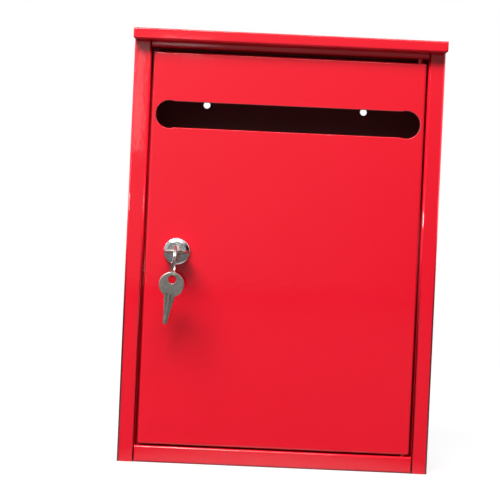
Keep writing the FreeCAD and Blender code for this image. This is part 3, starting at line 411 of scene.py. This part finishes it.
# %% Make a piece
def finish_piece(name, bm, node, paint):
    """Turns a bmesh into the piece that stands for a CAD node."""
    bmesh.ops.remove_doubles(bm, verts=bm.verts, dist=WELD)
    bmesh.ops.recalc_face_normals(bm, faces=bm.faces)
    mesh = bpy.data.meshes.new(name)
    bm.to_mesh(mesh)
    bm.free()
    mesh.shade_smooth()
    mesh.materials.append(paint.material)
    piece = bpy.data.objects.new(name, mesh)
    scene.collection.objects.link(piece)
    flat = piece.modifiers.new("flat_faces_stay_flat", "WEIGHTED_NORMAL")
    flat.weight = 100
    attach(piece, cad_nodes[node]["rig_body"])
    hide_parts(node)
    print(name, "stands for", node, "with", len(mesh.polygons), "faces")
    return piece


# %% [markdown]
# ## Deburred sheet metal
# Folded sheet has generous bends but sharp cut edges, and the coat rounds those to a few tenths of a
# millimetre. That tiny round matters: it catches the light as a thin bright line along the door, the
# stiles and the slot. A copy of the CAD mesh is welded, its flat triangles are dissolved into whole
# faces, and the edges that are still sharp are bevelled. Where a cut edge runs round a bend it is made
# of very short edges. On the body and the pan these stay as they are, because they lie closer together
# than the bevel is wide. The front rim of the letter slot is rounded more, because hands reach for it.
# Faces that look inwards, behind the front frame or behind the door, get the thin coat with its
# painted shade.

# %% Deburr
FLAT_ANGLE = math.radians(0.4)
SHARP_ANGLE = math.radians(30)


def welded_copy(node):
    """A copy of a CAD node's mesh as one closed skin with whole flat faces."""
    bm = bmesh.new()
    bm.from_mesh(cad_nodes[node].data)
    bmesh.ops.remove_doubles(bm, verts=bm.verts, dist=WELD)
    bmesh.ops.dissolve_limit(bm, angle_limit=FLAT_ANGLE, verts=bm.verts, edges=bm.edges)
    return bm


def round_off(bm, edges, width, segments=2, clamp=True):
    """Rounds some edges over a width."""
    bmesh.ops.bevel(
        bm,
        geom=edges,
        offset=width,
        offset_type="OFFSET",
        affect="EDGES",
        segments=segments,
        profile=0.5,
        material=-1,
        clamp_overlap=clamp,
    )


def sharp_edges(bm, shortest=0):
    """The edges, from a shortest length on, at which the faces turn by more than the sharp angle."""
    long_enough = [edge for edge in bm.edges if edge.is_manifold and edge.calc_length() > shortest]
    return [edge for edge in long_enough if edge.calc_face_angle() > SHARP_ANGLE]


def deburr(bm, width, shortest=0, clamp=True):
    """Rounds the sharp edges."""
    round_off(bm, sharp_edges(bm, shortest), width, clamp=clamp)


# %% Coated sheets
door_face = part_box("door_panel")[0].y
FRAME_DEPTH = 13 * MM
SLOT_ROUND = 0.45 * MM
SHEET_ROUND = 0.2 * MM
ROOF_ROUND = 0.12 * MM
BEND_EDGE = 2 * MM
# For each sheet, how wide its edges are rounded and the shortest edge that is.
SHEET_EDGES = {
    "body_shell": (SHEET_ROUND, BEND_EDGE),
    "bottom_pan": (SHEET_ROUND, BEND_EDGE),
    "top_rail": (SHEET_ROUND, 0),
    "roof": (ROOF_ROUND, 0),
    "door_panel": (SHEET_ROUND, 0),
}
for node, (edge_width, shortest) in SHEET_EDGES.items():
    sheet_skin = welded_copy(node)
    if node == "door_panel":
        slot_rim = []
        for edge in sharp_edges(sheet_skin):
            if max(vert.co.y for vert in edge.verts) < door_face + NEAR:
                slot_rim.append(edge)
        round_off(sheet_skin, slot_rim, SLOT_ROUND, 4, clamp=False)
    deburr(sheet_skin, edge_width, shortest, clamp=False)
    sheet_piece = finish_piece(node + "_coated", sheet_skin, node, coat)
    # The second material is the thin coat with its painted shade, for the faces inside.
    sheet_piece.data.materials.append(inside_coat_painted_shade.material)
    low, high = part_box(node)
    middle_of_box = (low + high) / 2
    inside_start = door_face if node == "door_panel" else door_face + FRAME_DEPTH
    for face in sheet_piece.data.polygons:
        looks_in = face.normal.dot(middle_of_box - face.center) > 0
        if looks_in and face.center.y > inside_start:
            face.material_index = 1

# %% [markdown]
# ## Turned and cut parts
# A lathe part is an outline spun once round. The outline has only its corners: the rounds are bevelled
# into the spun body afterwards, on the circles that the corners drew. A plane cut takes off what lies
# beyond it and closes the cut, as a file or a mill would.

# %% Lathe and saw
CUT_MARGIN = 0.0001 * MM
X, Y, Z = Vector((1, 0, 0)), Vector((0, 1, 0)), Vector((0, 0, 1))


def turned(bm, start, axis, outline, closed=True, steps=96):
    """Spins an outline, given as pairs of radius and way along the axis, round an axis through start."""
    corners = [bm.verts.new(start + X * radius + axis * way) for radius, way in outline]
    pairs = list(zip(corners, corners[1:]))
    if closed:
        pairs.append((corners[-1], corners[0]))
    lines = [bm.edges.new(pair) for pair in pairs]
    bmesh.ops.spin(
        bm, geom=corners + lines, cent=start, axis=axis, angle=math.tau, steps=steps, use_merge=True
    )


def circle_edges(bm, start, axis, radius, way):
    """The edges of the circle at one radius and one way along the axis."""

    def on_circle(vert):
        along = (vert.co - start).dot(axis)
        across = (vert.co - start - axis * along).length
        return abs(along - way) < NEAR and abs(across - radius) < NEAR

    return [edge for edge in bm.edges if on_circle(edge.verts[0]) and on_circle(edge.verts[1])]


def saw(bm, geometry, place, direction, cut_away=True):
    """Cuts geometry along a plane, and gives back the edges of the cut."""
    cut = bmesh.ops.bisect_plane(
        bm, geom=geometry, dist=CUT_MARGIN, plane_co=place, plane_no=direction, clear_outer=cut_away
    )
    return [item for item in cut["geom_cut"] if isinstance(item, bmesh.types.BMEdge)]


def everything(bm):
    """All points, edges and faces."""
    return bm.verts[:] + bm.edges[:] + bm.faces[:]


# %% [markdown]
# ## Hinge pins
# The door turns on two rivet-like pins. Each has a domed head against its ledge and a rounded end that
# finds the hole in the door's flange. Only a glimpse of them shows in the gaps above and below the door,
# where they are red: they are riveted in before the frame is coated.

# %% Hinge pins
SHANK_RADIUS = 1.75 * MM
HEAD_HEIGHT = 1 * MM
HEAD_DOME = 0.8 * MM
TIP_ROUND = 0.5 * MM
for node, away_from_head in (("hinge_pin_bottom", Z), ("hinge_pin_top", -Z)):
    low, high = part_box(node)
    head_radius = (high.x - low.x) / 2
    length = high.z - low.z
    head_end = (low + high) / 2 - away_from_head * length / 2
    outline = [
        (0, 0),
        (head_radius, 0),
        (head_radius, HEAD_HEIGHT),
        (SHANK_RADIUS, HEAD_HEIGHT),
        (SHANK_RADIUS, length),
        (0, length),
    ]
    pin = bmesh.new()
    turned(pin, head_end, away_from_head, outline, closed=False, steps=48)
    bmesh.ops.remove_doubles(pin, verts=pin.verts, dist=WELD)
    round_off(pin, circle_edges(pin, head_end, away_from_head, head_radius, 0), HEAD_DOME, 6)
    round_off(pin, circle_edges(pin, head_end, away_from_head, SHANK_RADIUS, length), TIP_ROUND, 4)
    finish_piece(node + "_turned", pin, node, coat)

# %% [markdown]
# ## Washers, cam and screw
# These are punched from sheet or pressed, so their CAD forms are right, and only the burr is taken off.

# %% Punched steel parts
PUNCHED_ROUND = 0.12 * MM
for node in ("lock_washer", "stop_washer", "cam", "screw_washer", "cam_screw"):
    steel_skin = welded_copy(node)
    deburr(steel_skin, PUNCHED_ROUND)
    finish_piece(node + "_plated", steel_skin, node, zinc)

# %% [markdown]
# ## Nut
# The points of a hexagon nut are turned off at 30 degrees on both faces, so that they don't dig into the
# washer. Twelve flat cuts, one at each end of each point, do nearly the same.

# %% Nut
POINT_CUT_RADIUS = 10.1 * MM
POINT_ANGLE = math.radians(30)
MACHINED_ROUND = 0.1 * MM
nut = welded_copy("lock_nut")
low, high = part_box("lock_nut")
nut_middle = (low + high) / 2
half_thickness = (high.y - low.y) / 2
for point in range(6):
    outwards = Matrix.Rotation(math.radians(60 * point), 4, "Y") @ X
    for face_side in (-Y, Y):
        place = nut_middle + outwards * POINT_CUT_RADIUS + face_side * half_thickness
        slope = outwards * math.sin(POINT_ANGLE) + face_side * math.cos(POINT_ANGLE)
        rim = saw(nut, everything(nut), place, slope)
        bmesh.ops.contextual_create(nut, geom=rim)
deburr(nut, MACHINED_ROUND)
finish_piece("lock_nut_plated", nut, "lock_nut", zinc)

# %% [markdown]
# ## Lock housing
# The housing is a die casting: a polished coned bezel in front of the door and a threaded barrel with
# two flats behind it. The bezel is turned here. Its cone leans back by nearly 30 degrees from a narrow
# rim and bulges a little, and that slope carries the lock's brightest reflection. The barrel keeps the
# CAD's flats, bore and stop notch. Its thread is cut into it in rings: every half pitch the round skin
# is sawn through, and every second ring of points is pushed in, along the flats' own plane where the
# thread runs out into a flat.

# %% Lock housing
housing_low, housing_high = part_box("lock_housing")
lock = (housing_low + housing_high) / 2
lock.y = door_face
bezel_radius = (housing_high.x - housing_low.x) / 2
bezel_front = housing_low.y - door_face
BORE_RADIUS = 5.55 * MM
HEAD_BORE_RADIUS = 6.35 * MM
HEAD_SEAT = -0.6 * MM
RIM_INNER, RIM_OUTER, RIM_DISH = 6.45 * MM, 6.75 * MM, 0.9 * MM
RIM_INNER_ROUND, RIM_OUTER_ROUND, EDGE_ROUND = 0.08 * MM, 0.2 * MM, 0.6 * MM
CONE_END = -1.75 * MM
CONE_BULGE = 0.07 * MM
BARREL_RADIUS = 8 * MM
FLAT = 7 * MM
THREAD_START, THREAD_END = 2 * MM, 19 * MM
PITCH = 1 * MM
THREAD_ROOT = BARREL_RADIUS - 0.5 * MM
SKIN_MARGIN = 0.05 * MM
NECK_PLACE = 0.02 * MM
FACES_ENDWAYS, FACES_FLATWAYS = 0.1, 0.97
RING_TOLERANCE = 0.02
print("bezel", round(bezel_radius / MM, 2), "mm in radius,", round(-bezel_front / MM, 2), "mm high")

# %% Barrel
housing = welded_copy("lock_housing")
neck = saw(housing, everything(housing), lock + Y * NECK_PLACE, -Y)
bmesh.ops.bridge_loops(housing, edges=neck)


def round_skin(bm):
    """The faces of the barrel's round outside, with their edges and points."""
    skin = []
    for face in bm.faces:
        radii = [math.hypot(vert.co.x - lock.x, vert.co.z - lock.z) for vert in face.verts]
        outside = min(radii) > BARREL_RADIUS - SKIN_MARGIN
        if outside and abs(face.normal.y) < FACES_ENDWAYS and abs(face.normal.z) < FACES_FLATWAYS:
            skin += [face, *face.edges, *face.verts]
    return list(dict.fromkeys(skin))


turns = int((THREAD_END - THREAD_START) / PITCH)
for half_turn in range(turns * 2 + 1):
    way = THREAD_START + half_turn * PITCH / 2
    saw(housing, round_skin(housing), lock + Y * way, Y, cut_away=False)
for vert in housing.verts:
    place = vert.co - lock
    radius = math.hypot(place.x, place.z)
    half_turns = (place.y - THREAD_START) / (PITCH / 2)
    on_root = abs(half_turns - round(half_turns)) < RING_TOLERANCE and round(half_turns) % 2 == 1
    if on_root and 0 < half_turns < turns * 2 and radius > BARREL_RADIUS - SKIN_MARGIN:
        if abs(place.z) > FLAT - SKIN_MARGIN:
            vert.co.x = lock.x + math.copysign(math.sqrt(THREAD_ROOT**2 - FLAT**2), place.x)
        else:
            vert.co.x = lock.x + place.x * THREAD_ROOT / radius
            vert.co.z = lock.z + place.z * THREAD_ROOT / radius
print("thread of", turns, "turns")

# %% Bezel
bezel_outline = [
    (BORE_RADIUS, 0),
    (BORE_RADIUS, HEAD_SEAT),
    (HEAD_BORE_RADIUS, HEAD_SEAT),
    (HEAD_BORE_RADIUS, bezel_front + RIM_DISH),
    (RIM_INNER, bezel_front),
    (RIM_OUTER, bezel_front),
    ((RIM_OUTER + bezel_radius) / 2 + CONE_BULGE / 2, (bezel_front + CONE_END) / 2 - CONE_BULGE),
    (bezel_radius, CONE_END),
    (bezel_radius, 0),
]
turned(housing, lock, Y, bezel_outline, steps=128)
round_off(housing, circle_edges(housing, lock, Y, bezel_radius, CONE_END), EDGE_ROUND, 8)
round_off(housing, circle_edges(housing, lock, Y, RIM_OUTER, bezel_front), RIM_OUTER_ROUND, 4)
round_off(housing, circle_edges(housing, lock, Y, RIM_INNER, bezel_front), RIM_INNER_ROUND, 2)
finish_piece("lock_housing_chromed", housing, "lock_housing", chrome)

# %% [markdown]
# ## Plug
# The plug's face is turned flat, with a thin raised ring that guards the keyway. The ring is a small
# lathe part that sinks a little into the face.

# %% Plug
plug = welded_copy("lock_plug")
deburr(plug, MACHINED_ROUND)
face_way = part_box("lock_plug")[0].y - door_face
GUARD_INNER, GUARD_OUTER = 4.6 * MM, 5.2 * MM
GUARD_HEIGHT, GUARD_SINK, GUARD_ROUND = 0.15 * MM, 0.05 * MM, 0.1 * MM
guard_outline = [
    (GUARD_INNER, face_way + GUARD_SINK),
    (GUARD_INNER, face_way - GUARD_HEIGHT),
    (GUARD_OUTER, face_way - GUARD_HEIGHT),
    (GUARD_OUTER, face_way + GUARD_SINK),
]
turned(plug, lock, Y, guard_outline)
for radius in (GUARD_INNER, GUARD_OUTER):
    round_off(plug, circle_edges(plug, lock, Y, radius, face_way - GUARD_HEIGHT), GUARD_ROUND, 3)
finish_piece("lock_plug_chromed", plug, "lock_plug", plug_metal_painted_darker)

# %% [markdown]
# ## Keys
# A key is stamped from sheet, and its bow is coined: the press flattens the outline and the hole's rim
# to a narrow slope, which catches the light as a pale line. A bevel of one segment makes both slopes.
# The step where the bow thins towards the blade is left as it is: its wall is far lower than the bow's
# thickness, which tells its edges apart. Then every edge is tumbled round.

# %% Keys
COINED = 0.45 * MM
TUMBLED = 0.08 * MM
FACE_MARGIN = 0.02 * MM
FACING, SIDEWAYS = 0.999, 0.01
for node, across in (("key_in_lock", Z), ("spare_key", Y)):
    key = welded_copy(node)
    low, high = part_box(node)
    key_middle = (low + high) / 2
    reach = (high - low).dot(across) / 2
    rim = []
    for edge in key.edges:
        outer = [
            face
            for face in edge.link_faces
            if abs(face.normal.dot(across)) > FACING
            and abs((face.calc_center_median() - key_middle).dot(across)) > reach - FACE_MARGIN
        ]
        walls = [face for face in edge.link_faces if abs(face.normal.dot(across)) < SIDEWAYS]
        if outer and walls and walls[0].calc_area() / edge.calc_length() > reach:
            rim.append(edge)
    round_off(key, rim, COINED, 1, clamp=False)
    deburr(key, TUMBLED)
    print(node, "has a coined rim of", len(rim), "edges")
    finish_piece(node + "_stamped", key, node, key_metal)

# %% [markdown]
# ## Split ring
# A split ring is two turns of spring wire. The wire's section is nearly round: a small rectangle with
# well rounded corners. One spin sweeps it through both turns while it moves one wire width sideways.
# The ring hangs a few degrees out of the vertical.

# %% Split ring
WIRE_DEPTH, WIRE_WIDTH, COIL_PITCH = 1 * MM, 0.9 * MM, 1 * MM
WIRE_ROUND = 0.4 * MM
RING_TILT = math.radians(3)
STEPS = 192
low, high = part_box("key_ring")
ring_middle = (low + high) / 2
ring_radius = (high.y - low.y) / 2
ring = bmesh.new()
bmesh.ops.create_grid(ring, x_segments=1, y_segments=1, size=0.5)
bmesh.ops.scale(ring, verts=ring.verts, vec=(WIRE_WIDTH, WIRE_DEPTH, 1))
bmesh.ops.bevel(
    ring,
    geom=ring.verts[:],
    offset=WIRE_ROUND,
    offset_type="OFFSET",
    affect="VERTICES",
    segments=3,
    profile=0.5,
    material=-1,
    clamp_overlap=True,
)
wire_start = ring_middle - X * COIL_PITCH - Y * (ring_radius - WIRE_DEPTH / 2)
bmesh.ops.translate(ring, verts=ring.verts, vec=wire_start)
bmesh.ops.spin(
    ring,
    geom=everything(ring),
    cent=ring_middle,
    axis=X,
    dvec=X * COIL_PITCH * 2 / STEPS,
    angle=math.tau * 2,
    steps=STEPS,
)
tilt = Matrix.Rotation(RING_TILT, 3, "Y")
bmesh.ops.rotate(ring, verts=ring.verts, cent=ring_middle, matrix=tilt)
finish_piece("key_ring_wire", ring, "key_ring", ring_metal)

# %% [markdown]
# ## Wafers and springs
# The wafers are stamped from brass and the springs are wound from fine wire. The CAD has their true
# forms, so they keep its meshes and only get their metals.

# %% Inner parts
for number in range(1, 6):
    for node, paint in ((f"wafer_{number}", brass), (f"wafer_spring_{number}", spring_metal)):
        cad_nodes[node].data.materials.clear()
        cad_nodes[node].data.materials.append(paint.material)

# %% [markdown]
# ## Floor
# The floor is plain and nearly white to the camera, and keeps the box's shadow, which shows that the box
# stands. Under the box's own light it is a dark grey, because a white floor would throw so much light up
# that the shadow under the roof would vanish. Away from the box it fades into the white background.
# Chrome and gloss mirror the white floor too, but only the part close to the box: further out it would
# lie as a haze over the red of the door's lower half.

# %% Floor
FLOOR_SEEN = shade(0.9, 0.9, 0.9)
FLOOR_LIT = shade(0.085, 0.085, 0.085)
FLOOR_REACH = 6
floor_mesh = bmesh.new()
bmesh.ops.create_grid(floor_mesh, x_segments=1, y_segments=1, size=FLOOR_REACH)
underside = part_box("body_shell")[0].z
bmesh.ops.translate(floor_mesh, verts=floor_mesh.verts, vec=(0, 0, underside))
floor_data = bpy.data.meshes.new("floor")
floor_mesh.to_mesh(floor_data)
floor_mesh.free()
floor = bpy.data.objects.new("floor", floor_data)
scene.collection.objects.link(floor)
paper = Paint("white_paper", roughness=0.9, specular_ior_level=0.1)
floor_data.materials.append(paper.material)
glow = paper.node("ShaderNodeEmission", None, {"Color": WHITE, "Strength": 1})
path = paper.tree.nodes.new("ShaderNodeLightPath")
looked_at = Wire(paper, path.outputs["Is Camera Ray"])
mirrored = Wire(paper, path.outputs["Is Glossy Ray"])
distance = paper.node("ShaderNodeVectorMath", {"operation": "LENGTH"}, {0: paper.place}, output=1)
close_by = paper.ramp(distance, (0.17, 1), (0.222, 0))
paper.set(base_color=paper.blend(looked_at + mirrored * close_by, FLOOR_LIT, FLOOR_SEEN))
fade = paper.ramp(distance, (0.25, 0.8), (1.0, 1))
lit_paper = Wire(paper, paper.shader.outputs[0])
paper_mix = paper.node("ShaderNodeMixShader", None, {0: fade * looked_at, 1: lit_paper, 2: glow})
paper.tree.links.new(paper_mix.socket, paper.tree.nodes["Material Output"].inputs["Surface"])

# %% [markdown]
# ## Finish
# The picture shows colours as they are written, so the view transform is Standard.

# %% Finish
scene.view_settings.view_transform = "Standard"
